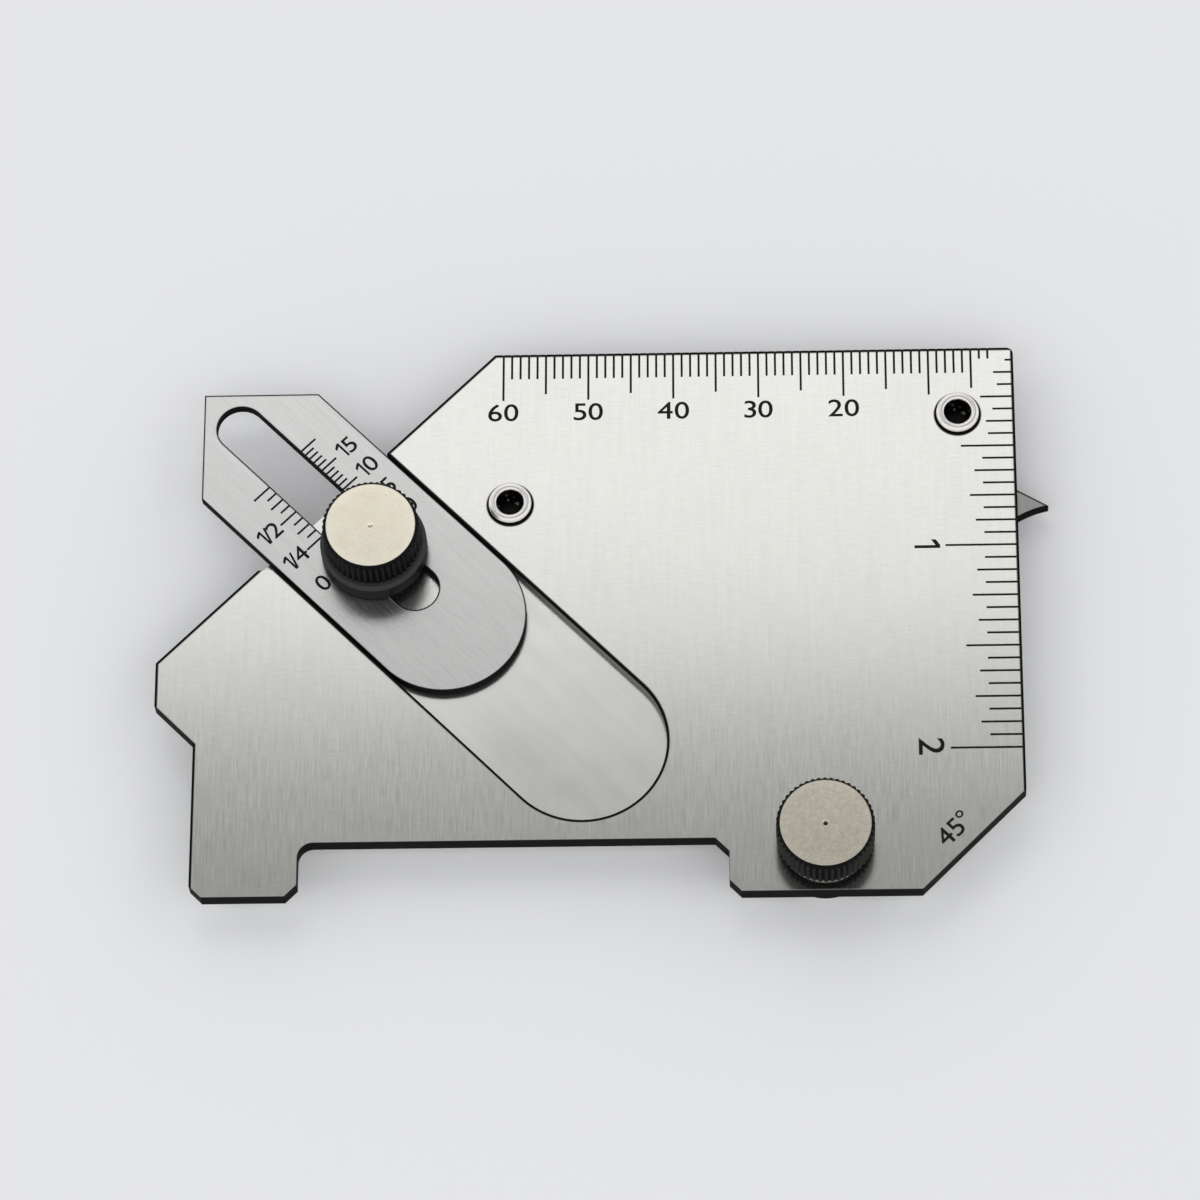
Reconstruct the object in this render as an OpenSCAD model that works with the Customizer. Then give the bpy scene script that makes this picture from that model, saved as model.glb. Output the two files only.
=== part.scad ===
// Weld gauge lying on its back, front face up: a bridge shaped plate with a throat slide and a swinging cam.
// Units are millimetres, +X runs along the plate to the right, +Y from the feet to the top edge, +Z up.

/* [Plate] */
// Width of the plate from the nose to the straight right edge
plate_w = 100; // [96:0.5:110]
// Height of the plate from the soles of the feet to the top edge
plate_h = 68; // [66:0.5:76]
// Thickness of the plate
plate_t = 2.2; // [2:0.1:4]
// Leg of the 45 degree cut at the upper left corner
corner_cut = 39; // [36:0.5:42]
// Leg of the 45 degree cut at the lower right corner
toe_cut = 12; // [9:0.5:14]
// Height of the flat nose on the left
nose_h = 5.3; // [4:0.1:7]
// Overhang of the nose past the left foot
nose_step = 4.6; // [3:0.1:6]
// Width of the left foot
left_foot_w = 12.3; // [10:0.1:15]
// Width of the right foot with its 45 degree cut
right_foot_w = 33.9; // [31:0.1:38]
// Height of the gap between the feet
bridge_h = 6.5; // [4.5:0.1:8]
// Radius in the corner between the gap and the left foot
bridge_r = 1.8; // [1:0.1:2.5]
// Leg of the web in the corner between the gap and the right foot
bridge_web = 1.6; // [1:0.1:2.5]
// Leg of the small cuts on the corners of the feet
foot_cut = 1.4; // [0.8:0.1:2]
// Radius of the top right corner
corner_r = 0.8; // [0.4:0.1:2]

/* [Throat slide] */
// Width of the slide
slide_w = 19; // [17:0.5:21]
// Thickness of the slide
slide_t = 1.2; // [1:0.1:1.8]
// Width of the slot along the slide
slot_w = 5.6; // [5:0.1:6.4]
// Wall between the slot and the square tip
tip_wall = 1.6; // [1.2:0.1:2.5]
// How far the tip is drawn back from its zero place
slide_back = 6.7; // [0:0.1:20]
// Distance of the clamp stud from the 45 degree edge
stud_inset = 8; // [7.5:0.1:9]
// Wall between the round end of the channel and the gap below it
channel_wall = 2.4; // [1.5:0.1:4]
// Length of the cut on the lower corner of the channel mouth
mouth_cut = 1.5; // [0.8:0.1:2.5]

/* [Cam] */
// Thickness of the cam
cam_t = 1.5; // [1.2:0.1:2]
// How far the beak's tip lies inside the cam's round edge
beak_drop = 3.6; // [2:0.1:5]
// Angle from the right guide rivet to the beak's tip
beak_swing = 15.2; // [13:0.1:18]
// Angle of the beak's upper edge from the radius through its tip
beak_rake = 92; // [88:1:98]
// Angle of the beak at its tip
beak_angle = 42; // [34:1:50]
// Radius of the hollow under the beak
beak_hollow = 11.5; // [9:0.5:13]
// Angle from the left guide rivet to the end of the cam's round edge
cam_overlap = 9; // [5:0.5:10]
// Clearance of the cam's hub above the soles of the feet
sole_gap = 0.4; // [0.3:0.1:1]

/* [Fasteners] */
// Diameter of the thumb nuts over the knurl
nut_d = 11.2; // [10:0.2:12]
// Height of the thumb nuts
nut_h = 4.5; // [3.2:0.1:5]
// Number of knurl grooves round a thumb nut
knurl_n = 48; // [36:4:60]
// Depth of the knurl grooves
knurl_depth = 0.28; // [0.2:0.02:0.4]
// Diameter of the clamp collar under the slide's thumb nut
collar_d = 12.4; // [11.6:0.2:13.2]
// Height of the clamp collar
collar_h = 2.8; // [2.4:0.1:3.4]
// Diameter of the studs' threaded ends
stud_d = 4; // [3.5:0.1:4.4]
// Diameter of the shoulder that the cam turns on
pivot_d = 6; // [5.5:0.1:6.5]
// Diameter of the flat heads on the back
head_d = 10; // [9:0.2:11]
// Thickness of the pivot stud's and the rivets' heads
head_t = 1.2; // [1:0.1:1.8]
// Outer diameter of the flat washer on the plate
washer_d = 9.8; // [9:0.2:10.4]
// Thickness of the flat washer
washer_t = 0.5; // [0.4:0.1:0.8]
// Thickness of the spring washers
spring_t = 0.35; // [0.3:0.05:0.5]
// Rise of the spring washers' cone
spring_rise = 0.2; // [0.1:0.05:0.3]
// Diameter of the rivets' shanks
rivet_d = 4; // [3.5:0.1:4.5]
// Wall of the rivets' open ends
rivet_wall = 0.45; // [0.35:0.05:0.6]
// Radius of the rolled rims on the rivets
rim_r = 0.5; // [0.4:0.05:0.6]
// Diameter of the rivets' heads on the back
rivet_head_d = 8; // [7.5:0.1:9]
// Distance of the right rivet from the right edge
rivet_from_side = 6.7; // [6:0.1:8]
// Distance of the right rivet from the top edge
rivet_from_top = 8.6; // [7.6:0.1:10]
// Distance of the left rivet from the side of the slide's channel
rivet_from_channel = 5.45; // [4:0.05:8]

/* [Scales] */
// Depth of the etched lines
etch = 0.1; // [0.05:0.05:0.2]
// Width of the etched lines
line_w = 0.26; // [0.15:0.01:0.3]

/* [Fits] */
// Radial clearance round shafts, studs and rivets
run_gap = 0.05; // [0.03:0.01:0.1]
// Clearance between flat faces that move on each other
face_gap = 0.05; // [0.03:0.01:0.1]
// Clearance on each side of the slide in its channel
side_gap = 0.2; // [0.15:0.05:0.3]

/* [Hidden] */
$fn = 96;
eps = 0.01;

// Heights above the table, from the heads on the back to the plate's front face.
cam_z = head_t + face_gap;
plate_z = cam_z + cam_t + face_gap;
front_z = plate_z + plate_t;
slide_z = front_z - slide_t;
floor_z = slide_z - face_gap;
spring_h = spring_t + spring_rise;

// The slide's axis runs at 45 degrees from the point where the left and top edges would meet.
edge_s = corner_cut / sqrt(2);
stud_s = edge_s + stud_inset;
slot_start = (slot_w / 2 + tip_wall) * sqrt(2);
channel_w = slide_w + 2 * side_gap;
channel_mid = (plate_h - bridge_h - channel_wall - channel_w / 2) * sqrt(2);
slide_len = channel_mid + channel_w / 2 - side_gap - (stud_s - slot_start);

// The cam's pivot is centred over the flat of the right foot. Both rivets are as far from it, the left one
// beside the slide's channel.
gap_x0 = nose_step + left_foot_w;
gap_x1 = plate_w - right_foot_w;
pivot = [plate_w - (right_foot_w + toe_cut) / 2, nut_d / 2 + sole_gap];
hub_r = pivot.y - sole_gap;
rivet_right = [plate_w - rivet_from_side, plate_h - rivet_from_top];
guide_r = norm(rivet_right - pivot);
guide_a = atan2(rivet_right.y - pivot.y, rivet_right.x - pivot.x);
channel_off = channel_w / 2 + rivet_from_channel - (pivot.x + pivot.y - plate_h) / sqrt(2);
left_a = 45 + acos(channel_off / guide_r);
rivet_left = pivot + polar(guide_r, left_a);
cam_r = guide_r - rivet_d / 2 - 2 * run_gap;
tip_a = guide_a - beak_swing;
tip = polar(cam_r - beak_drop, tip_a);

// The part is centred over the origin in X and Y.
mid = [(pivot.x + tip.x) / 2, plate_h / 2];

function polar(r, a) = [r * cos(a), r * sin(a)];
function arc(c, r, a0, a1, n) = [for (i = [0:n]) c + polar(r, a0 + (a1 - a0) * i / n)];

// Outline of the plate, counter-clockwise from the left foot.
outline = concat(
    [[nose_step + foot_cut, 0], [gap_x0 - foot_cut, 0], [gap_x0, foot_cut]],
    arc([gap_x0 + bridge_r, bridge_h - bridge_r], bridge_r, 180, 90, 10),
    [[gap_x1 - bridge_web, bridge_h], [gap_x1, bridge_h - bridge_web]],
    [[gap_x1, foot_cut], [gap_x1 + foot_cut, 0], [plate_w - toe_cut, 0], [plate_w, toe_cut]],
    arc([plate_w - corner_r, plate_h - corner_r], corner_r, 0, 90, 8),
    [[corner_cut, plate_h], [0, plate_h - corner_cut], [0, plate_h - corner_cut - nose_h]],
    [[nose_step, plate_h - corner_cut - nose_h - nose_step], [nose_step, foot_cut]]
);

// Outline of the cam about its pivot: the beak, the round edge, the hub and the hollow under the beak.
rake_a = tip_a + beak_rake;
rake_dot = tip * polar(1, rake_a);
rake_end = tip + polar(sqrt(rake_dot * rake_dot + cam_r * cam_r - tip * tip) - rake_dot, rake_a);
hollow_c = tip + polar(beak_hollow, rake_a + beak_angle + 90);
flank_a = atan2(hollow_c.y, hollow_c.x) - acos((hub_r + beak_hollow) / norm(hollow_c));
cam_end_a = left_a + cam_overlap;
cam_outline = concat(
    arc([0, 0], cam_r, atan2(rake_end.y, rake_end.x), cam_end_a, 48),
    arc([0, 0], hub_r, cam_end_a + acos(hub_r / cam_r), 360 + flank_a, 32),
    arc(hollow_c, beak_hollow, flank_a + 180, rake_a + beak_angle - 90, 20)
);

// Outline of the knurl: narrow lands with V grooves between them.
knurl_a = 180 / knurl_n;
function knurl_outline(r) = [for (i = [0:knurl_n - 1]) each [polar(r, (2 * i - 0.25) * knurl_a),
    polar(r, (2 * i + 0.25) * knurl_a), polar(r - knurl_depth, (2 * i + 1) * knurl_a)]];

// Lengths of the ruler lines, by their number from the corner.
function mm_line(i) = i % 10 == 0 ? 6 : i % 5 == 0 ? 5.2 : i < 5 ? 1.4 : 3.2;
function inch_line(i) = i < 8 ? [1, 2.4, 2, 4, 2.6, 3.4, 3.2][i - 1]
    : i % 16 == 0 ? 8.5 : i % 8 == 0 ? 6.4 : i % 4 == 0 ? 5.5 : i % 2 == 0 ? 4.9 : 3.95;

// Moves a shape from the gauge's corner to the part's own frame.
module place(z = 0) {
    translate([-mid.x, -mid.y, z]) children();
}

// Puts a shape on the slide's axis, s along it.
module on_axis(s, z = 0) {
    place(z) translate([0, plate_h, 0]) rotate(-45) translate([s, 0, 0]) children();
}

// A hole or pin of radius r from z0 to z1.
module rod(r, z0, z1) {
    translate([0, 0, z0]) cylinder(r = r, h = z1 - z0);
}

// A straight bar with round ends, from x0 to x1.
module round_slot(w, x0, x1, z0, z1) {
    translate([x0, -w / 2, z0]) cube([x1 - x0, w, z1 - z0]);
    translate([x0, 0, 0]) rod(w / 2, z0, z1);
    translate([x1, 0, 0]) rod(w / 2, z0, z1);
}

// Etched lines of the two rulers: millimetres along the top edge, sixteenths of an inch down the right edge.
module ruler_lines() {
    mm_end = 10 * floor((plate_w - corner_cut) / 10);
    inch_end = 16 * floor((plate_h - toe_cut) / 25.4);
    for (i = [3:mm_end]) {
        translate([plate_w - i - line_w / 2, plate_h - mm_line(i), front_z - etch])
            cube([line_w, mm_line(i) + 1, etch + 1]);
    }
    for (i = [1:inch_end]) {
        translate([plate_w - inch_line(i), plate_h - i * 25.4 / 16 - line_w / 2, front_z - etch])
            cube([inch_line(i) + 1, line_w, etch + 1]);
    }
}

// Etched lines of the throat scale, on both sides of the slot: each unit is drawn at 1/sqrt(2) of its size.
module throat_lines() {
    for (i = [0:20]) {
        long = i % 5 == 0 ? 2.4 : 1.45;
        translate([edge_s - i / sqrt(2) - line_w / 2, slot_w / 2 - eps, slide_t - etch])
            cube([line_w, long, etch + 1]);
    }
    for (i = [0:12]) {
        long = i % 4 == 0 ? 2.6 : i % 2 == 0 ? 2 : 1.5;
        translate([edge_s - i * 25.4 / 16 / sqrt(2) - line_w / 2, eps - slot_w / 2 - long, slide_t - etch])
            cube([line_w, long, etch + 1]);
    }
}

module body_plate() {
    color([0.78, 0.78, 0.76])
    difference() {
        place() translate([0, 0, plate_z]) linear_extrude(plate_t) polygon(outline);
        on_axis(0) translate([edge_s - 2, -channel_w / 2, floor_z])
            cube([channel_mid - edge_s + 2, channel_w, plate_t]);
        on_axis(channel_mid) rod(channel_w / 2, floor_z, front_z + 1);
        on_axis(edge_s) translate([0, -channel_w / 2, floor_z]) rotate(45)
            translate([-mouth_cut / sqrt(2), -mouth_cut / sqrt(2), 0])
                cube([mouth_cut * sqrt(2), mouth_cut * sqrt(2), plate_t]);
        on_axis(stud_s) rod(slot_w / 2, plate_z - 1, floor_z + 1);
        place() translate(pivot) rod(pivot_d / 2 + run_gap, plate_z - 1, front_z + 1);
        place() translate(rivet_left) rod(rivet_d / 2, plate_z - 1, front_z + 1);
        place() translate(rivet_right) rod(rivet_d / 2, plate_z - 1, front_z + 1);
        place() ruler_lines();
    }
}

module throat_slide() {
    r = slide_w / 2;
    color([0.7, 0.7, 0.69])
    on_axis(slide_back, slide_z)
    difference() {
        union() {
            linear_extrude(slide_t)
                polygon([[0, 0], [r, -r], [slide_len - r, -r], [slide_len - r, r], [r, r]]);
            translate([slide_len - r, 0, 0]) rod(r, 0, slide_t);
        }
        round_slot(slot_w, slot_start, stud_s, -1, slide_t + 1);
        throat_lines();
    }
}

module cam_plate() {
    color([0.74, 0.74, 0.73])
    place(cam_z) translate(pivot)
    difference() {
        linear_extrude(cam_t) polygon(cam_outline);
        rod(pivot_d / 2 + run_gap, -1, cam_t + 1);
    }
}

// A stud: a flat head, a plain shoulder up to the plate's front face and a thinner threaded end.
module stud(head_h, shoulder_r, top_z) {
    rod(head_d / 2, 0, head_h);
    rod(shoulder_r, head_h, front_z - 2 * face_gap);
    rod(stud_d / 2, front_z - 2 * face_gap, top_z - stud_d / 8);
    translate([0, 0, top_z - stud_d / 8]) cylinder(d1 = stud_d, d2 = 0.75 * stud_d, h = stud_d / 8);
}

// A knurled thumb nut with a blind thread, a broken top edge and a turning centre in its top face.
module thumb_nut() {
    r = nut_d / 2;
    difference() {
        intersection() {
            rotate_extrude()
                polygon([[0, 0], [r - 0.4, 0], [r, 0.4], [r, nut_h - 0.3], [r - 0.3, nut_h], [0, nut_h]]);
            translate([0, 0, -1]) linear_extrude(nut_h + 2) polygon(knurl_outline(r));
        }
        rod(stud_d / 2 + run_gap, -1, 0.7 * nut_h);
        translate([0, 0, nut_h - 0.25]) cylinder(d1 = 0.1, d2 = 0.7, h = 0.25 + eps);
    }
}

// A cone shaped spring washer that stands on its outer edge.
module spring_washer(r) {
    inner = stud_d / 2 + 2 * run_gap;
    rotate_extrude() polygon([[inner, spring_rise], [r, 0], [r, spring_t], [inner, spring_h]]);
}

module slide_stud() {
    color([0.66, 0.66, 0.65])
    on_axis(stud_s) stud(plate_z, slot_w / 2 - run_gap, slide_nut_z + 0.65 * nut_h);
}

// Heights of the stacks under the two thumb nuts.
slide_pad_z = front_z + face_gap;
slide_nut_z = slide_pad_z + collar_h + face_gap;
cam_washer_z = front_z;
cam_spring_z = cam_washer_z + washer_t;
cam_nut_z = cam_spring_z + spring_h + face_gap;

module slide_spring_washer() {
    color([0.55, 0.55, 0.54])
    on_axis(stud_s, slide_pad_z) spring_washer(collar_d / 2 - 1.2);
}

module slide_collar() {
    r = collar_d / 2;
    pocket = spring_h + face_gap;
    color([0.3, 0.3, 0.3])
    on_axis(stud_s, slide_pad_z)
    difference() {
        rotate_extrude()
            polygon([[0, 0], [r - 0.3, 0], [r, 0.3], [r, collar_h - 0.4], [r - 0.4, collar_h], [0, collar_h]]);
        rod(r - 1.1, -1, pocket);
        rod(stud_d / 2 + 2 * run_gap, 0, collar_h + 1);
    }
}

module slide_thumb_nut() {
    color([0.25, 0.25, 0.24])
    on_axis(stud_s, slide_nut_z) thumb_nut();
}

module cam_pivot_stud() {
    color([0.66, 0.66, 0.65])
    place() translate(pivot) stud(head_t, pivot_d / 2, cam_nut_z + 0.65 * nut_h);
}

module cam_flat_washer() {
    color([0.6, 0.6, 0.59])
    place() translate(pivot)
    difference() {
        rod(washer_d / 2, cam_washer_z, cam_washer_z + washer_t);
        rod(stud_d / 2 + 2 * run_gap, cam_washer_z - 1, cam_washer_z + washer_t + 1);
    }
}

module cam_spring_washer() {
    color([0.55, 0.55, 0.54])
    place(cam_spring_z) translate(pivot) spring_washer(washer_d / 2 - 0.4);
}

module cam_thumb_nut() {
    color([0.25, 0.25, 0.24])
    place(cam_nut_z) translate(pivot) thumb_nut();
}

// A semi tubular rivet: a flat head that keeps the cam's round edge in, a shank and an open end rolled over
// in front.
module guide_rivet() {
    r = rivet_d / 2;
    difference() {
        union() {
            rod(rivet_head_d / 2, 0, head_t);
            rod(r, head_t, front_z + rim_r);
            translate([0, 0, front_z + rim_r]) rotate_extrude() translate([r, 0]) circle(r = rim_r);
        }
        rod(r - rivet_wall, plate_z + 1, front_z + 2);
    }
}

module guide_rivet_left() {
    color([0.7, 0.7, 0.68])
    place() translate(rivet_left) guide_rivet();
}

module guide_rivet_right() {
    color([0.7, 0.7, 0.68])
    place() translate(rivet_right) guide_rivet();
}

body_plate();
throat_slide();
cam_plate();
slide_stud();
slide_spring_washer();
slide_collar();
slide_thumb_nut();
cam_pivot_stud();
cam_flat_washer();
cam_spring_washer();
cam_thumb_nut();
guide_rivet_left();
guide_rivet_right();
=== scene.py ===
# %% [markdown]
# # Weld gauge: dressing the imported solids
# The gauge is a brushed steel plate that lies on its back, with a slide and a cam that thumb nuts clamp
# to it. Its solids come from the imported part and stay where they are. This lesson gives them their
# finishes, fills the etched lines with ink, sets the numbers, lights the set and places the camera.

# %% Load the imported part
import math
import bpy
from mathutils import Matrix, Vector


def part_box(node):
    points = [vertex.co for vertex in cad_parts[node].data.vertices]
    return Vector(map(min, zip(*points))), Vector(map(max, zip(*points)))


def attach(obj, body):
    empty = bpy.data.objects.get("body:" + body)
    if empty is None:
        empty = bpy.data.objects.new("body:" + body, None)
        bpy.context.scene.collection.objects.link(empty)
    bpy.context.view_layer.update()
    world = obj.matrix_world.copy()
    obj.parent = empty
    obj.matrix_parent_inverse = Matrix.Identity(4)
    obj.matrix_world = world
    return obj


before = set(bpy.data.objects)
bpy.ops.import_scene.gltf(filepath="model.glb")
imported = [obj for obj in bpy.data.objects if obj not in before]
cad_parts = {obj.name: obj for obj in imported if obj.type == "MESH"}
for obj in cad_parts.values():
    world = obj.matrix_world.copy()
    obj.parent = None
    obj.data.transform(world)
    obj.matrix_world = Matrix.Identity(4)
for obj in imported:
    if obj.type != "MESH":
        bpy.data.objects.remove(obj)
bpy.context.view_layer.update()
MM = 0.001

# %% [markdown]
# ## Where things are on the gauge
# The rulers count from the plate's top right corner, and the slide runs at 45 degrees from the point
# where the left and top edges would meet. Ink and numbers have to land on the etched lines, so the sizes
# that they share with the part are written down once, in millimetres. Whatever the solids can tell is
# measured from their boxes instead.

# %% Sizes shared by the markings and the finishes
PLATE_W, PLATE_H, CORNER_CUT = 100.0, 68.0, 39.0
SLOT_W, SLIDE_BACK, LINE_W = 5.6, 6.7, 0.26
HALF = math.sqrt(0.5)
left_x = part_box("body_plate")[0].x / MM
base_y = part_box("body_plate")[0].y / MM
front_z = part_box("body_plate")[1].z / MM
right_x, top_y = left_x + PLATE_W, base_y + PLATE_H
edge_s = CORNER_CUT / math.sqrt(2)


def middle(node):
    """The centre of a node's box in millimetres."""
    low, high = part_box(node)
    return (low + high) / 2 / MM


pivot = middle("cam_pivot_stud")
stud = middle("slide_stud")
print("front face at", round(front_z, 3), "mm, pivot", [round(v, 2) for v in pivot[:2]])

# %% [markdown]
# ## A small language for shader maths
# A finish is a web of nodes, and a web is hard to read. Each output socket could be linked by hand, but
# sums are shorter. One class wraps a socket, so that + - * and a few named steps add Math nodes, and one
# method adds any other node with its settings and inputs.


# %% Socket wrapper
class Value:
    """A number or colour that varies over a surface: an output socket in a material's node tree."""

    def __init__(self, tree, socket):
        self.tree, self.socket = tree, socket

    def node(self, kind, settings=None, **inputs):
        """Adds a node: settings first, then inputs by name (_ for a space) or by i and a number."""
        made = self.tree.nodes.new(kind)
        for key, value in (settings or {}).items():
            setattr(made, key, value)
        for key, value in inputs.items():
            by_number = key[0] == "i" and key[1:].isdigit()
            socket = made.inputs[int(key[1:]) if by_number else key.replace("_", " ")]
            if isinstance(value, Value):
                self.tree.links.new(value.socket, socket)
            else:
                socket.default_value = value
        return made

    def out(self, made, name=0):
        return Value(self.tree, made.outputs[name])

    def math(self, operation, a, b=0.0, c=0.0):
        return self.out(self.node("ShaderNodeMath", {"operation": operation}, i0=a, i1=b, i2=c))

    def __add__(self, other):
        return self.math("ADD", self, other)

    def __sub__(self, other):
        return self.math("SUBTRACT", self, other)

    def __mul__(self, other):
        return self.math("MULTIPLY", self, other)

    def __radd__(self, other):
        return self.math("ADD", other, self)

    def __rsub__(self, other):
        return self.math("SUBTRACT", other, self)

    def __rmul__(self, other):
        return self.math("MULTIPLY", other, self)

    def __abs__(self):
        return self.math("ABSOLUTE", self)

    def least(self, other):
        return self.math("MINIMUM", self, other)

    def most(self, other):
        return self.math("MAXIMUM", self, other)

    def step(self, start, end):
        """0 before the start, 1 past the end and a smooth rise between."""
        smooth = {"interpolation_type": "SMOOTHSTEP"}
        return self.out(self.node("ShaderNodeMapRange", smooth, i0=self, i1=start, i2=end, i3=0.0, i4=1.0))

    def below(self, edge, soft=0.02):
        """1 where this value is under the edge and 0 above it."""
        return self.step(edge + soft, edge - soft)

    def above(self, edge, soft=0.02):
        """1 where this value is over the edge and 0 below it."""
        return self.step(edge - soft, edge + soft)

    def mix(self, low, high):
        """A colour between low and high, by this value."""
        return self.out(self.node("ShaderNodeMix", {"data_type": "RGBA"}, i0=self, i6=low, i7=high), 2)


print("socket wrapper ready")

# %% [markdown]
# ## A finish
# Every finish starts in the same way: a Principled shader, and the place of each point on the gauge.
# Texture images could be unwrapped onto each piece, but then the grain's scale would have to be matched
# by eye. Object coordinates are used, because the solids all share the gauge's own origin, so a grain has
# its true size everywhere and travels with a piece that moves. They come in metres, and the finishes
# think in millimetres.


# %% Finish class
class Finish(Value):
    """A material with its shader, the place of a point in millimetres and how far its face looks up."""

    def __init__(self, name, **constants):
        self.material = bpy.data.materials.new(name)
        self.material.use_nodes = True
        self.tree = self.material.node_tree
        self.shader = self.tree.nodes["Principled BSDF"]
        for key, value in constants.items():
            self.shader.inputs[key.replace("_", " ")].default_value = value
        coords = self.node("ShaderNodeTexCoord")
        grow = self.node("ShaderNodeVectorMath", {"operation": "SCALE"}, i0=self.out(coords, "Object"))
        grow.inputs["Scale"].default_value = 1 / MM
        self.place = self.out(grow)
        split = self.node("ShaderNodeSeparateXYZ", i0=self.place)
        self.x, self.y, self.z = (self.out(split, i) for i in range(3))
        normal = self.out(self.node("ShaderNodeNewGeometry"), "Normal")
        self.up = self.out(self.node("ShaderNodeSeparateXYZ", i0=normal), 2)

    def feed(self, socket, value):
        self.tree.links.new(value.socket, self.shader.inputs[socket])

    def grain(self, scale, turn=0.0, detail=3.0, centre=(0.0, 0.0, 0.0)):
        """Noise with this many waves per millimetre along X, Y and Z, after a turn about Z."""
        lay = {"vector_type": "TEXTURE"}
        turned = self.node("ShaderNodeMapping", lay, i0=self.place, Location=centre, Rotation=(0, 0, turn))
        sized = self.out(self.node("ShaderNodeMapping", i0=self.out(turned), Scale=scale))
        noise = self.node("ShaderNodeTexNoise", Vector=sized, Scale=1.0, Detail=detail, Roughness=0.55)
        return self.out(noise, 0)

    def relief(self, height, strength, distance=0.02 * MM):
        bump = self.node("ShaderNodeBump", Height=height, Strength=strength, Distance=distance)
        self.feed("Normal", self.out(bump))


def dress(node, finish):
    """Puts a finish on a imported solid."""
    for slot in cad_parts[node].material_slots:
        slot.material = finish.material


print("finish helpers ready")

# %% [markdown]
# ## Edges of the plate
# The cut edges of the plate, the rim of the slide's channel and the seats of the rivets get a thin dark
# line on the face: painted shade for the dark that these edges and joins show. It could be painted by hand,
# but the outline is known, so the distance to it is worked out from the part's sizes. A straight edge is a
# sum, a corner is the least or most of two sums, and a round is a length. Along the lower edges the
# distance is counted from a little outside, so the painted line is thinner there.

# %% Distances from the plate's edges
TOE_CUT, NOSE_H, NOSE_STEP, LEFT_FOOT, RIGHT_FOOT = 12.0, 5.3, 4.6, 12.3, 33.9
GAP_H, GAP_R, GAP_WEB, FOOT_CUT = 6.5, 1.8, 1.6, 1.4
CHANNEL_W, CHANNEL_MID = 19.4, 69.862
# The shift moves the painted shade line outwards along the lower edges, so it is thinner there.
RIVET_SEAT, LOWER_EDGE_SHIFT = 2.45, 0.25


def length(a, b):
    """Length of a step of a one way and b the other."""
    return a.math("SQRT", a * a + b * b)


def channel_rim(f):
    """Distance from the side of the slide's channel, out onto the front face."""
    x, y = f.x - left_x, f.y - base_y
    past_middle = (PLATE_H * HALF - (y - x) * HALF - CHANNEL_MID).most(0.0)
    return length(past_middle, (x + y) * HALF - PLATE_H * HALF) - CHANNEL_W / 2


def plate_rim(f):
    """Distance from a point on the front face to the nearest edge of the plate."""
    x, y = f.x - left_x, f.y - base_y
    rise, fall = (y - x) * HALF, (y + x) * HALF
    outer = (PLATE_H - y).least(PLATE_W - x).least(y + LOWER_EDGE_SHIFT).least(x)
    corner = (PLATE_H - CORNER_CUT) * HALF - rise
    toe = rise + (PLATE_W - TOE_CUT) * HALF + LOWER_EDGE_SHIFT
    nose = (x - NOSE_STEP).most(fall - (PLATE_H - CORNER_CUT - NOSE_H) * HALF + LOWER_EDGE_SHIFT)
    heel = fall - (NOSE_STEP + FOOT_CUT) * HALF + LOWER_EDGE_SHIFT
    gap_0, gap_1 = NOSE_STEP + LEFT_FOOT, PLATE_W - RIGHT_FOOT
    left = (gap_0 - x).least(rise + (gap_0 - FOOT_CUT) * HALF) + GAP_R
    ceiling = y - GAP_H + GAP_R
    inner = left.most(ceiling).least(0.0) + length(left.most(0.0), ceiling.most(0.0)) - GAP_R
    right = (x - gap_1).least(fall - (gap_1 + FOOT_CUT) * HALF)
    web = fall - (gap_1 - GAP_WEB + GAP_H) * HALF
    gap = inner.most(right).most(web) + LOWER_EDGE_SHIFT
    edges = outer.least(corner).least(toe).least(nose).least(heel).least(gap).least(channel_rim(f))
    # Each rivet's seat gets a ring of painted shade where the rivet meets the plate.
    for rivet in (middle("guide_rivet_left"), middle("guide_rivet_right")):
        edges = edges.least(length(f.x - rivet.x, f.y - rivet.y) - RIVET_SEAT)
    return edges


print("plate outline", PLATE_W, "by", PLATE_H, "mm, channel", CHANNEL_W, "mm wide")

# %% [markdown]
# ## Brushed steel of the plate
# The real plate is stainless sheet, brushed from the feet to the top edge by a belt. Each scratch could
# be drawn, but noise that is stretched along Y looks the same: a fine one for scratches, a coarse one for
# bands, one laid across for the faint weave and a broad one for clouds. The channel's floor is milled, so
# it has marks along the slide's run instead, and is paler.

# %% Steel colours of the plate
plate = Finish("brushed_plate", Specular_IOR_Level=0.01)
fine = plate.grain((6.0, 0.3, 1.0))
coarse = plate.grain((1.6, 0.1, 1.0), detail=2.0)
weave = plate.grain((0.5, 5.0, 1.0), detail=2.0)
cloud = plate.grain((0.09, 0.09, 1.0), detail=2.0)
tone = (fine - 0.5) * 0.65 + (coarse - 0.5) * 0.3 + (weave - 0.5) * 0.5 + (cloud - 0.5) * 0.2 + 0.5
steel = tone.mix((0.68, 0.68, 0.65, 1), (0.92, 0.92, 0.88, 1))
mill_marks = plate.grain((0.05, 0.4, 1.0), turn=math.radians(-45), detail=2.0)
milling = (cloud - 0.5) * 1.2 + (mill_marks - 0.5) * 0.9 + 0.5
milled = milling.mix((0.75, 0.75, 0.72, 1), (0.93, 0.93, 0.90, 1))
front = plate.up.above(0.9, 0.05)
channel = plate.z.below(front_z - 0.5, 0.1) * front
print("plate colours:", len(plate.tree.nodes), "nodes")
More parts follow.
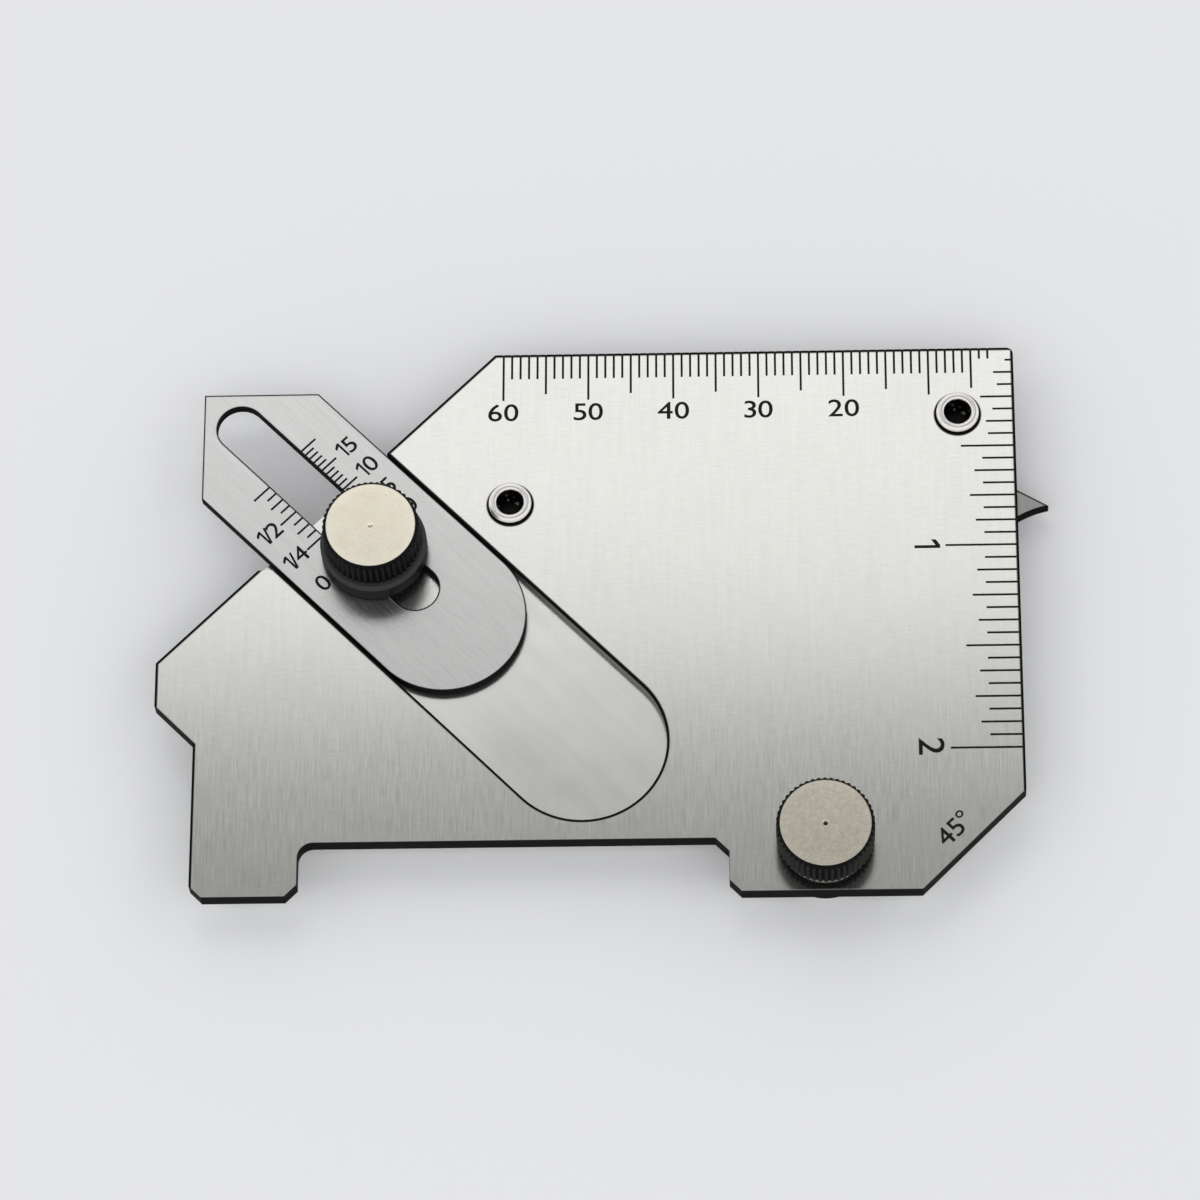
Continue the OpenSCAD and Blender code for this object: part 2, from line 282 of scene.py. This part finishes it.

# %% [markdown]
# ## Painted shade on the plate's edges
# All upright faces are near black, a painted shade for walls that face away from the lamps, and so is the
# line of painted shade along the edges of the front face. Dark metal would still mirror the lamps at a low
# angle, so the edges stop being metal, which Metallic does with the same mask. Low on the channel's side a
# paler strip is left: a painted highlight for the light that the channel's wall catches.

# %% Dark edges of the plate
# Near black: painted shade on the walls and edge lines of the plate, slide and cam, and the black of the
# nuts' knurl and the collar.
SHADE_AND_BLACKING = (0.007, 0.007, 0.007, 1)
SHEEN_GREY = (0.30, 0.30, 0.29, 1)
upright = abs(plate.up).below(0.9, 0.05)
# Painted shade: near black on all upright faces and in a line along the front face's edges.
painted_shade = (plate_rim(plate).below(0.33, 0.1) * front * (1 - channel)).most(upright)
low_on_side = plate.z.below(front_z - 0.55, 0.15) * plate.z.above(front_z - 1.15, 0.1)
# Painted highlight: a paler strip low on the channel's wall.
painted_sheen = abs(channel_rim(plate)).below(0.08) * low_on_side
sides = (painted_sheen * 0.8).mix(SHADE_AND_BLACKING, SHEEN_GREY)
plate.feed("Base Color", painted_shade.mix(channel.mix(steel, milled), sides))
plate.feed("Metallic", 1 - painted_shade)
plate.feed("Roughness", (fine - 0.5) * 0.1 + 0.165 + painted_shade * 0.3 + channel * 0.05)
plate.relief(fine * (1 - channel), 0.07)
dress("body_plate", plate)
print("plate finish:", len(plate.tree.nodes), "nodes")

# %% [markdown]
# ## Edges of the slide and the cam
# Both get the same painted shade on their walls and along their edges as the plate. The slide's distance
# is worked out along and across its own axis: its square tip, its round end and its slot. The cam's is the
# least of three: its round edge about the pivot, the straight rake of the beak and the hollow under it.

# %% Distances from the edges of the slide and the cam
SLIDE_W, TIP_WALL, STUD_INSET = 19.0, 1.6, 8.0
BEAK_SWING, BEAK_RAKE, BEAK_ANGLE, BEAK_HOLLOW = 15.2, 92.0, 42.0, 11.5


def slide_rim(f):
    """Distance from the slide's outline and slot."""
    x, y = f.x - left_x, f.y - top_y
    along, across = (x - y) * HALF, abs((x + y) * HALF)
    slot_0 = SLIDE_BACK + (SLOT_W / 2 + TIP_WALL) * math.sqrt(2)
    slot_1 = SLIDE_BACK + edge_s + STUD_INSET
    round_end = (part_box("throat_slide")[1].x / MM - SLIDE_W / 2 - left_x) * math.sqrt(2)
    sides = SLIDE_W / 2 - length((along - round_end).most(0.0), across)
    square_tip = (along - SLIDE_BACK - across) * HALF
    beyond = (slot_0 - along).most(along - slot_1).most(0.0)
    return sides.least(square_tip).least(length(beyond, across) - SLOT_W / 2)


def cam_rim(f):
    """Distance from the cam's round edge and from both edges of its beak."""
    rivet = middle("guide_rivet_right")
    tip_angle = math.atan2(rivet.y - pivot.y, rivet.x - pivot.x) - math.radians(BEAK_SWING)
    tip_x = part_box("cam_plate")[1].x / MM
    tip_y = pivot.y + (tip_x - pivot.x) * math.tan(tip_angle)
    rake = tip_angle + math.radians(BEAK_RAKE)
    inward = rake + math.pi / 2
    straight = (f.x - tip_x) * math.cos(inward) + (f.y - tip_y) * math.sin(inward)
    outward = rake + math.radians(BEAK_ANGLE) + math.pi / 2
    hollow_x = tip_x + BEAK_HOLLOW * math.cos(outward)
    hollow_y = tip_y + BEAK_HOLLOW * math.sin(outward)
    hollow = length(f.x - hollow_x, f.y - hollow_y) - BEAK_HOLLOW
    cam_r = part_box("cam_plate")[1].y / MM - pivot.y
    round_edge = cam_r - length(f.x - pivot.x, f.y - pivot.y)
    return straight.least(hollow).least(round_edge)


# %% [markdown]
# ## Brushed slide and cam
# The slide is a little darker than the plate and brushed along its own length, so its grain is turned by
# 45 degrees. The cam is the same steel, but its tones are darker still: a painted shade, as it lies low
# behind the plate. One function makes both, with the grain's turn, the two tones and the outline as its
# inputs, because the finishes differ in nothing else.


# %% Finishes of the slide and the cam
def satin(name, low, high, turn, outline):
    """Brushed steel between two tones, with painted shade on its walls and along its edge; outline gives the
    distance from the edge.
    """
    f = Finish(name, Specular_IOR_Level=0.01)
    streak = f.grain((6.0, 0.3, 1.0), turn=turn)
    broad = f.grain((1.6, 0.1, 1.0), turn=turn, detail=2.0)
    # Painted shade: near black on the walls and in a thin line along the edge.
    painted_shade = outline(f).below(0.16, 0.08).most(abs(f.up).below(0.9, 0.05))
    tone = (streak - 0.5) * 0.8 + (broad - 0.5) * 0.4 + 0.5
    f.feed("Base Color", painted_shade.mix(tone.mix(low, high), SHADE_AND_BLACKING))
    f.feed("Metallic", 1 - painted_shade)
    f.feed("Roughness", (streak - 0.5) * 0.2 + 0.25 + painted_shade * 0.3)
    f.relief(streak, 0.12)
    print(name, "has", len(f.tree.nodes), "nodes")
    return f


slide_low, slide_high = (0.54, 0.54, 0.535, 1), (0.84, 0.84, 0.83, 1)
# The cam's darker tones are painted shade.
cam_shade_low, cam_shade_high = (0.24, 0.24, 0.235, 1), (0.42, 0.42, 0.41, 1)
dress("throat_slide", satin("brushed_slide", slide_low, slide_high, math.radians(45), slide_rim))
dress("cam_plate", satin("brushed_cam", cam_shade_low, cam_shade_high, 0.0, cam_rim))

# %% [markdown]
# ## Turned steel
# The studs and washers come off a lathe. Rings about each axis could be drawn as on the nuts, but only a
# sliver of these parts ever shows, so they share one plain steel without a texture.

# %% Finish of the studs and washers
turned = Finish("turned_steel", Metallic=1.0, Roughness=0.32, Base_Color=(0.58, 0.57, 0.55, 1))
small_parts = ("slide_stud", "cam_pivot_stud", "slide_spring_washer", "cam_spring_washer", "cam_flat_washer")
for small_part in small_parts:
    dress(small_part, turned)
print("turned steel on", len(small_parts), "parts")

# %% [markdown]
# ## Thumb nuts
# The nuts are blackened, knurled and then faced on a lathe, which leaves a pale, slightly stained top
# with rings and a dark point at the centre. Rings are a sine of the distance from the nut's own axis. The
# pale top is a mask: faces that look up, inside the broken edge. The slide's nut is handled more, and its
# centre point has worn away.

# %% Finishes of the nuts
FACED_R, CENTRE_R = 5.15, 0.45


def faced_nut(node, centre, centre_mark):
    """A black knurl and a pale faced top; centre_mark is 1 for a dark point in its middle, 0 for none."""
    f = Finish("faced_" + node, Specular_IOR_Level=0.03)
    radius = length(f.x - centre.x, f.y - centre.y)
    rings = f.math("SINE", radius * 26.0)
    speckle = f.grain((2.6, 2.6, 2.6), detail=5.0)
    stain = f.grain((0.5, 0.5, 0.5), detail=3.0)
    flat = f.up.above(0.9, 0.05) * radius.below(FACED_R, 0.06)
    top = flat.most(radius.below(CENTRE_R, 0.05) * f.up.above(0.0))
    # Lighter towards the rim of the top: a painted highlight.
    shade = speckle + (stain - 0.5) * 0.7 + rings * 0.06 + radius.above(4.5, 0.7) * 0.25 - 0.08
    cream = shade.mix((0.76, 0.70, 0.57, 1), (0.95, 0.90, 0.77, 1))
    cream = (radius.below(0.28, 0.08) * centre_mark).mix(cream, (0.12, 0.1, 0.08, 1))
    f.feed("Base Color", top.mix(SHADE_AND_BLACKING, cream))
    f.feed("Metallic", top)
    f.feed("Roughness", 0.36 - top * 0.14 + (speckle - 0.5) * 0.1)
    f.relief((rings * 0.3 + speckle) * top, 0.08)
    dress(node, f)
    print(node, "has", len(f.tree.nodes), "nodes")


faced_nut("slide_thumb_nut", stud, 0.0)
faced_nut("cam_thumb_nut", pivot, 1.0)

# %% [markdown]
# ## Clamp collar
# The collar under the slide's nut is blackened all over, and its shoulder is painted a little grey: a
# painted highlight on the faces that look up to the lamps. The grey could be painted onto a texture, but it
# lies only on faces that look up, so one mask on the normal finds it.

# %% Finish of the collar
collar = Finish("blackened_collar", Roughness=0.4, Specular_IOR_Level=0.03)
# Painted highlight: the faces that look up are a little grey.
shoulder_highlight = collar.up.above(0.5, 0.2)
collar.feed("Base Color", shoulder_highlight.mix(SHADE_AND_BLACKING, (0.05, 0.05, 0.055, 1)))
dress("slide_collar", collar)
print("collar has", len(collar.tree.nodes), "nodes")

# %% [markdown]
# ## Rivets
# The two rivets are tubes whose ends are rolled over into bright rims. The open end is painted dark, a
# painted shade down the tube, with a few painted glints on its rough wall, and a dark line of painted shade
# lies where the rim meets the plate. Three materials on picked faces could do this, but the borders run
# across faces, so one finish finds its zones by the distance from the rivet's axis and by the height.

# %% Finish of the rivets
HOLE_R, RIM_SEAT = 1.62, 2.2


def rolled_rivet(node):
    """A bright rim, with painted shade down the open end and round the seat, and painted glints in the end.
    """
    f = Finish("rolled_" + node, Metallic=1.0, Roughness=0.36)
    centre = middle(node)
    radius = length(f.x - centre.x, f.y - centre.y)
    # Painted shade down the open end and in a line round the seat, with painted glints in the end.
    hole_shade = radius.below(HOLE_R, 0.06) * f.z.above(front_z - 2.5, 0.2)
    seat_shade = radius.above(RIM_SEAT, 0.05) * f.z.above(front_z - 0.1) * f.z.below(front_z + 0.42, 0.1)
    rough = f.grain((1.9, 1.9, 1.9), centre=(centre.x, centre.y, 0), detail=1.0)
    painted_glint = rough.above(0.64, 0.05) * radius.above(0.85, 0.1) * hole_shade
    depth = painted_glint.mix((0.01, 0.01, 0.01, 1), (0.4, 0.39, 0.38, 1))
    f.feed("Base Color", hole_shade.most(seat_shade).mix((0.86, 0.83, 0.8, 1), depth))
    dress(node, f)
    print(node, "has", len(f.tree.nodes), "nodes")


rolled_rivet("guide_rivet_left")
rolled_rivet("guide_rivet_right")

# %% [markdown]
# ## Ink for the etched lines
# The lines of the rulers are etched and filled with black. An etched line could be a dark stripe in the
# plate's finish, but the grooves are real, so the ink is too: a bar that fills the groove and stops just
# under the steel. Its top is inset and lowered, as ink dries hollow. A bar is modelled once for each
# length of line, and Array modifiers copy it along the ruler.

# %% Bars of ink
INK_LOW, INK_HIGH, INK_DIP, INK_LIP = front_z - 0.099, front_z - 0.012, 0.015, 0.05
ink = Finish("black_ink", Roughness=0.6, Specular_IOR_Level=0.1, Base_Color=(0.012, 0.012, 0.012, 1))


def clear():
    bpy.ops.object.select_all(action="DESELECT")


def choose(piece):
    """Makes a piece the only selected one, and the active one."""
    clear()
    piece.select_set(True)
    bpy.context.view_layer.objects.active = piece


def settled():
    """Applies the place, turn and size of the selected pieces to their meshes."""
    bpy.ops.object.transform_apply(location=True, rotation=True, scale=True)


def pick_faces(piece, wanted):
    """Opens a piece in edit mode with only the wanted faces selected."""
    bpy.ops.object.mode_set(mode="EDIT")
    bpy.ops.mesh.select_mode(type="FACE")
    bpy.ops.mesh.select_all(action="DESELECT")
    bpy.ops.object.mode_set(mode="OBJECT")
    for face in piece.data.polygons:
        face.select = wanted(face)
    bpy.ops.object.mode_set(mode="EDIT")


def ink_bar(x, y, wide, tall, z0=INK_LOW, z1=INK_HIGH):
    """A bar of ink centred on x, y, from z0 to z1."""
    clear()
    place = (x * MM, y * MM, (z0 + z1) / 2 * MM)
    bpy.ops.mesh.primitive_cube_add(size=1, location=place, scale=(wide * MM, tall * MM, (z1 - z0) * MM))
    bar = bpy.context.object
    settled()
    pick_faces(bar, lambda face: face.normal.z > 0.9)
    bpy.ops.mesh.inset(thickness=INK_LIP * MM)
    bpy.ops.transform.translate(value=(0, 0, -INK_DIP * MM))
    bpy.ops.object.mode_set(mode="OBJECT")
    return bar


def repeated(bar, steps):
    """Copies the active bar along a ruler: steps is a list of (count, dx, dy)."""
    for count, dx, dy in steps:
        array = bar.modifiers.new("copies", "ARRAY")
        array.count = count
        array.use_relative_offset = False
        array.use_constant_offset = True
        array.constant_offset_displace = (dx * MM, dy * MM, 0)
        bpy.ops.object.modifier_apply(modifier=array.name)
    return bar


def joined(name, bars, body):
    """Joins bars or numbers into one piece of ink that rides on a body."""
    clear()
    for bar in bars:
        bar.select_set(True)
    bpy.context.view_layer.objects.active = bars[0]
    if len(bars) > 1:
        bpy.ops.object.join()
    piece = bpy.context.view_layer.objects.active
    piece.name = piece.data.name = name
    piece.data.materials.clear()
    piece.data.materials.append(ink.material)
    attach(piece, body)
    print(name, "faces:", len(piece.data.polygons))
    return piece


print("ink from", round(INK_LOW, 3), "to", round(INK_HIGH, 3), "mm")

# %% [markdown]
# ## Millimetre ruler
# The top ruler counts from the right edge, from 3 to 60. Each line could be placed by itself, but they
# come in four lengths at even steps: the two short ones beside the corner, the fives, the ones and the
# tens. So four bars with arrays give them all. The ones need two arrays: four lines, then every five.
# INK_FIT keeps the ink clear of the groove's walls.

# %% Ink of the millimetre ruler
INK_FIT = 0.01
rows = []
for first, tall, steps in (
    (3, 1.4, [(2, -1, 0)]),
    (5, 5.2, [(6, -10, 0)]),
    (6, 3.2, [(4, -1, 0), (11, -5, 0)]),
    (10, 6.0, [(6, -10, 0)]),
):
    bar = ink_bar(right_x - first, top_y - tall / 2 - INK_FIT, LINE_W - INK_FIT, tall - 2 * INK_FIT)
    rows.append(repeated(bar, steps))
joined("millimetre_lines", rows, "plate")

# %% [markdown]
# ## Inch ruler
# The ruler down the right edge counts sixteenths of an inch. The first seven lines make way for the
# rivet, so each has a length of its own. The rest repeat: sixteenths, eighths, quarters, halves and whole
# inches.

# %% Ink of the inch ruler
sixteenth = 25.4 / 16


def inch_bar(first, wide):
    """A line in from the right edge, this many sixteenths from the top."""
    x, y = right_x - wide / 2 - INK_FIT, top_y - first * sixteenth
    return ink_bar(x, y, wide - 2 * INK_FIT, LINE_W - INK_FIT)


rows = [inch_bar(i, wide) for i, wide in enumerate((1.0, 2.4, 2.0, 4.0, 2.6, 3.4, 3.2), 1)]
for first, wide, count, skip in (
    (9, 3.95, 12, 2),
    (10, 4.9, 6, 4),
    (12, 5.5, 3, 8),
    (8, 6.4, 2, 16),
    (16, 8.5, 2, 16),
):
    rows.append(repeated(inch_bar(first, wide), [(count, 0, -skip * sixteenth)]))
joined("inch_lines", rows, "plate")

# %% [markdown]
# ## Throat scale on the slide
# The throat of a weld is its leg divided by the square root of two, so the scale's units are that much
# shorter. Its lines start at the slot, millimetres on one side and sixteenths on the other. They are laid
# out along X with the slide's tip at zero and then turned into place together, so that the sizes stay
# simple.

# %% Ink of the throat scale
SLOT_FIT = 0.005
tip = Vector((left_x + SLIDE_BACK * HALF, top_y - SLIDE_BACK * HALF, 0))
throat_mm, throat_16th = HALF, sixteenth * HALF


def onto_slide(piece):
    """Turns a piece that was laid out along X from the tip onto the slide."""
    choose(piece)
    piece.rotation_euler = (0, 0, math.radians(-45))
    piece.location = tip * MM
    settled()


def throat_row(first, tall, count, skip, side):
    """Lines from the slot outwards: side is 1 or -1, first and skip run from the zero line to the tip."""
    y = side * (SLOT_W / 2 + tall / 2 + SLOT_FIT)
    return repeated(ink_bar(edge_s - first, y, LINE_W - INK_FIT, tall - 2 * INK_FIT), [(count, -skip, 0)])


ones = throat_row(throat_mm, 1.44, 4, throat_mm, 1)
rows = [repeated(ones, [(4, -5 * throat_mm, 0)])]
rows.append(throat_row(0, 2.39, 5, 5 * throat_mm, 1))
for first, tall, count, skip in ((1, 1.49, 6, 2), (2, 1.99, 3, 4), (0, 2.59, 4, 4)):
    rows.append(throat_row(first * throat_16th, tall, count, skip * throat_16th, -1))
onto_slide(joined("throat_lines", rows, "slide"))

# %% [markdown]
# ## The digit 1
# The numbers are a thin film of ink. Blender's own font has most of the digits in the right form, but its
# 1 is a bare stroke. So that digit is modelled: a bar is cut near its top with Bisect, and the upper
# piece of its left side is pulled out and down into a flag.

# %% Model of the digit 1
STROKE_W, FILM_T, FLAG_Y, FLAG = 0.11, 0.022, 0.82, (-0.22, -0.17, 0)


def flagged_one():
    """The digit 1 with a flag, one unit tall."""
    clear()
    bpy.ops.mesh.primitive_cube_add(size=1, location=(0.36, 0.5, 0), scale=(STROKE_W, 1, FILM_T))
    one = bpy.context.object
    settled()
    bpy.ops.object.mode_set(mode="EDIT")
    bpy.ops.mesh.select_all(action="SELECT")
    bpy.ops.mesh.bisect(plane_co=(0, FLAG_Y, 0), plane_no=(0, 1, 0))
    bpy.ops.object.mode_set(mode="OBJECT")
    pick_faces(one, lambda face: face.normal.x < -0.9 and face.center.y > FLAG_Y)
    bpy.ops.mesh.extrude_region_move(TRANSFORM_OT_translate={"value": FLAG})
    bpy.ops.object.mode_set(mode="OBJECT")
    return one


models = {"1": flagged_one()}
print("digit 1 faces:", len(models["1"].data.polygons))

# %% [markdown]
# ## The other digits
# The rest are text objects. A hair of bevel gives the film its thickness. Each is turned into a mesh,
# because only a mesh can be joined and exported, and is scaled so that a 0 is one unit tall, like the 1.

# %% Models of the other digits
FILM_BEVEL = 0.007


def font_glyph(letter):
    """A glyph of the built-in font as a mesh."""
    clear()
    bpy.ops.object.text_add()
    glyph = bpy.context.object
    glyph.data.body = letter
    glyph.data.resolution_u = 4
    glyph.data.bevel_depth = FILM_BEVEL
    glyph.data.bevel_resolution = 0
    bpy.ops.object.convert(target="MESH")
    return bpy.context.object


def span(piece, axis):
    """Where a mesh starts and ends along an axis."""
    places = [v.co[axis] for v in piece.data.vertices]
    return min(places), max(places)


glyphs = {letter: font_glyph(letter) for letter in "023456/°"}
digit_h = span(glyphs["0"], 1)[1] - span(glyphs["0"], 1)[0]
for glyph in glyphs.values():
    choose(glyph)
    glyph.scale = (1 / digit_h, 1 / digit_h, 1)
    settled()
models.update(glyphs)
print("models:", "".join(models), "and the font's 0 is", round(digit_h, 3), "units tall")

# %% [markdown]
# ## Setting a number
# A number is set like type: each digit is a copy of its model with a mesh of its own, pushed along by the
# width of those before it. The row is joined, centred on its place, made its height in millimetres and
# turned. It lies a hair over the steel. Fractions are set tighter than whole numbers.

# %% Type setting
DIGIT_GAP, FRACTION_GAP = 0.08, -0.06
FILM_Z = front_z + 0.004


def copied(model):
    """A copy of a model, selected and active, with a mesh of its own."""
    choose(model)
    bpy.ops.object.duplicate(linked=False)
    return bpy.context.object


def number(text, x, y, height, turn=0.0, z=FILM_Z, flip=False, wide=1.1):
    """A number centred on x, y, with digits height millimetres tall, turned about Z."""
    gap = FRACTION_GAP if "/" in text else DIGIT_GAP
    pen, row = 0.0, []
    for letter in text:
        glyph = copied(models[letter])
        low, high = span(glyph, 0)
        glyph.location.x = pen - low
        pen += high - low + gap
        row.append(glyph)
    clear()
    for glyph in row:
        glyph.select_set(True)
    bpy.context.view_layer.objects.active = row[0]
    settled()
    if len(row) > 1:
        bpy.ops.object.join()
    word = bpy.context.view_layer.objects.active
    word.location = (-(pen - gap) / 2, -0.5, 0)
    settled()
    word.scale = (height * wide * MM, height * MM, MM)
    word.rotation_euler = (math.pi if flip else 0, 0, turn)
    word.location = (x * MM, y * MM, z * MM)
    settled()
    return word


print("film at", round(FILM_Z, 3), "mm")

# %% [markdown]
# ## Numbers on the plate
# The tens stand under their lines on the top ruler, the inches lie on their side at the right edge, and
# the cut corner carries its angle along the cut. One text per ruler would drift off the lines, so each
# number has its own place, counted from the same corner as its line.

# %% Plate numbers
TENS_H, TENS_DOWN, TENS_WIDE = 2.25, 7.5, 1.2
INCH_H, INCH_IN, INCH_LIFT = 3.0, 10.6, 0.2
BEVEL_H, BEVEL_X, BEVEL_Y = 2.25, 91.6, 7.3
row = [number(str(n), right_x - n, top_y - TENS_DOWN, TENS_H, wide=TENS_WIDE) for n in (20, 30, 40, 50, 60)]
joined("millimetre_numbers", row, "plate")
row = []
for n in (1, 2):
    y = top_y - 16 * n * sixteenth + INCH_LIFT
    row.append(number(str(n), right_x - INCH_IN, y, INCH_H, math.radians(-90)))
joined("inch_numbers", row, "plate")
bevel = number("45°", left_x + BEVEL_X, base_y + BEVEL_Y, BEVEL_H, math.radians(45))
joined("bevel_number", [bevel], "plate")

# %% [markdown]
# ## Numbers on the slide
# The throat numbers are read with the slide's tip pointing up. Each could be turned onto the slide by
# itself, but it is simpler to turn each by a quarter beside its line and then the whole row at once, as
# the lines were.

# %% Slide numbers
THROAT_H, THROAT_Y, NUMBER_SHIFT = 2.1, 7.0, 0.2
quarter = math.radians(90)
row = []
for n in (0, 5, 10, 15):
    row.append(number(str(n), edge_s - n * throat_mm - NUMBER_SHIFT, THROAT_Y, THROAT_H, quarter))
for text, n in (("0", 0), ("1/4", 4), ("1/2", 8)):
    row.append(number(text, edge_s - n * throat_16th - NUMBER_SHIFT, -THROAT_Y, THROAT_H, quarter))
onto_slide(joined("throat_numbers", row, "slide"))

# %% [markdown]
# ## Angle lines on the cam
# The cam's back carries an arc of lines for bevel angles, one for every five degrees, with the tens
# longer. The two lengths are modelled once, at the origin, and each copy is turned and carried out to its
# angle about the pivot.

# %% Angle lines
SCALE_START, SCALE_STEP, SCALE_R = 133, 4.4, 53.0
cam_back_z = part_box("cam_plate")[0].z / MM
film_low, film_high = cam_back_z - 0.008, cam_back_z + 0.02


def about_pivot(i, r):
    """The angle of a scale line and the place at radius r on it."""
    a = math.radians(SCALE_START - SCALE_STEP * i)
    return a, pivot.x + r * math.cos(a), pivot.y + r * math.sin(a)


line_models = [(wide, ink_bar(0, 0, wide, LINE_W, film_low, film_high)) for wide in (3.4, 2.2)]
row = []
for i in range(13):
    wide, model = line_models[i % 2]
    a, x, y = about_pivot(i, SCALE_R - wide / 2)
    bar = copied(model)
    bar.rotation_euler = (0, 0, a)
    bar.location = (x * MM, y * MM, 0)
    settled()
    row.append(bar)
joined("angle_lines", row, "cam")

# %% [markdown]
# ## Angle numbers on the cam
# These numbers are read from behind, so they are flipped over. A mirrored scale would do that too, but it
# would turn the faces inside out, so a half turn about X is used. They are the last ones, so the models
# of the lines and digits are then cleared away.

# %% Angle numbers
ANGLE_H, ANGLE_R = 1.9, 47.6
row = []
for i in range(0, 13, 2):
    a, x, y = about_pivot(i, ANGLE_R)
    row.append(number(str(5 * i), x, y, ANGLE_H, a - math.pi / 2, cam_back_z - 0.004, flip=True))
joined("angle_numbers", row, "cam")
spent = list(models.values()) + [model for wide, model in line_models]
for model in spent:
    bpy.data.objects.remove(model)
print("models cleared away:", len(spent))

# %% [markdown]
# ## Floor and room
# The gauge lies on a plain pale floor. A curved backdrop could hide the horizon, but the camera looks
# down, so a flat plane is enough. The room is a dim even white, which lifts the shadows and gives the
# polished steel something to mirror where no lamp is.

# %% Floor and room
clear()
bpy.ops.mesh.primitive_plane_add(size=6)
floor = bpy.context.object
floor.name = "floor"
pale = Finish("pale_floor", Roughness=0.9, Base_Color=(0.95, 0.957, 0.975, 1))
floor.data.materials.append(pale.material)
world = bpy.data.worlds.new("room")
bpy.context.scene.world = world
world.use_nodes = True
room = world.node_tree.nodes["Background"]
room.inputs["Color"].default_value = (1, 1, 1, 1)
room.inputs["Strength"].default_value = 0.28
print("floor", [round(v, 2) for v in floor.dimensions[:2]], "m")

# %% [markdown]
# ## Lamps
# Brushed steel shows what it mirrors, so it is lit by large soft faces and not by points. The back lamp
# hangs behind the gauge: the top of the plate mirrors it and the feet look just past its near edge, which
# makes the fall from bright to grey. Four low walls close the tent for every other side, and a broad
# front lamp lifts the floor. Area lamps don't hide each other, so the rear and front walls stop below the
# lamps over them.


# %% Lamps
def soft_lamp(name, place, aim, size, level):
    """A rectangle of light whose face has this level, where 1 is white."""
    lamp = bpy.data.lights.new(name, "AREA")
    lamp.shape, lamp.size, lamp.size_y = "RECTANGLE", size[0], size[1]
    lamp.energy = level * math.pi * size[0] * size[1]
    holder = bpy.data.objects.new(name, lamp)
    bpy.context.scene.collection.objects.link(holder)
    holder.location = place
    holder.rotation_euler = (Vector(aim) - Vector(place)).to_track_quat("-Z", "Y").to_euler()
    holder.visible_camera = False
    print(name, "level", level, "size", size)


WALL_W, WALL_FOOT = 2.4, 0.05
soft_lamp("back_lamp", (-0.12, 0.662, 0.65), (-0.12, 0.662, 0), (0.6, 0.8), 0.8)
for name, x, y, tall, level in (
    ("left", -1.2, 0, 1.2, 0.85),
    ("right", 1.2, 0, 1.2, 0.85),
    ("front", 0, -1.2, 0.8, 0.75),
    ("rear", 0, 1.2, 0.66, 0.85),
):
    wall_z = WALL_FOOT + tall / 2
    soft_lamp(name + "_wall", (x, y, wall_z), (0, 0, wall_z), (WALL_W, tall), level)
soft_lamp("front_lamp", (0, -0.6, 0.95), (0, 0, 0), (1.8, 0.9), 0.75)

# %% [markdown]
# ## Camera
# The gauge is seen from above its feet through a long lens, slightly turned. The camera could be aimed by
# eye, but two angles, a distance and a roll about its target are easier to correct one at a time. The
# focal length is given in pixels of the picture's width, as a fit to the picture gives it.

# %% Camera
AZIMUTH, ELEVATION, DISTANCE, ROLL = 4.69, 66.16, 664.0, -5.08
TARGET = Vector((-0.486, 2.591, 4.2))
FOCAL_PX, PICTURE_PX = 5725, 1200
a, e, roll = math.radians(AZIMUTH), math.radians(ELEVATION), math.radians(ROLL)
back = Vector((math.sin(a) * math.cos(e), -math.cos(a) * math.cos(e), math.sin(e)))
right = (-back).cross(Vector((0, 0, 1))).normalized()
up = right.cross(-back)
across = math.cos(roll) * right + math.sin(roll) * up
upright = math.cos(roll) * up - math.sin(roll) * right
lens = bpy.data.cameras.new("camera")
lens.sensor_width = 36.0
lens.lens = lens.sensor_width * FOCAL_PX / PICTURE_PX
lens.clip_start, lens.clip_end = 0.01, 20.0
camera = bpy.data.objects.new("camera", lens)
bpy.context.scene.collection.objects.link(camera)
turn = Matrix((across, upright, back)).transposed().to_4x4()
camera.matrix_world = Matrix.Translation((TARGET + back * DISTANCE) * MM) @ turn
bpy.context.scene.camera = camera
bpy.context.scene.view_settings.view_transform = "Standard"
print("camera", [round(v, 3) for v in camera.location], "lens", round(lens.lens, 1), "mm")
